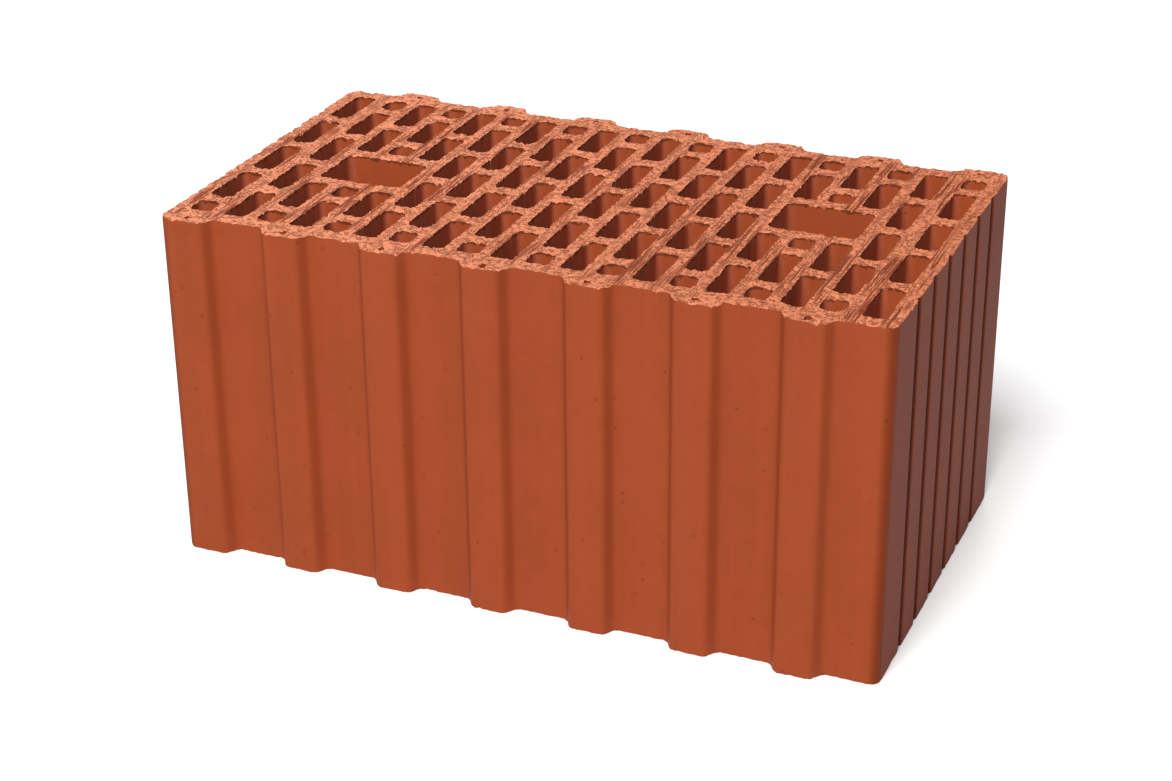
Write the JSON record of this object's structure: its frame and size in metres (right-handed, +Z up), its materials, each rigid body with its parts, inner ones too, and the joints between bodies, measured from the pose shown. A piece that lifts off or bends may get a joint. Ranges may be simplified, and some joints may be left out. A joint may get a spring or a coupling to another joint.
{
  "type": "hollow clay block",
  "caption": "Long extruded clay block with upright slots and grip holes, tongue-and-groove long faces and keyed ends, for walls laid one block thick.",
  "frame": {"origin": "middle of the lower bed face", "axes": "+X along the length, +Z up along the slots, -Y towards the front tongued face"},
  "size_m": [0.44, 0.25, 0.219],
  "materials": {
    "fired_clay": "matte fired red clay, smooth extruded sides and rough wire-cut beds"
  },
  "bodies": {
    "root": {"clay_block": "fired_clay"}
  },
  "joints": []
}
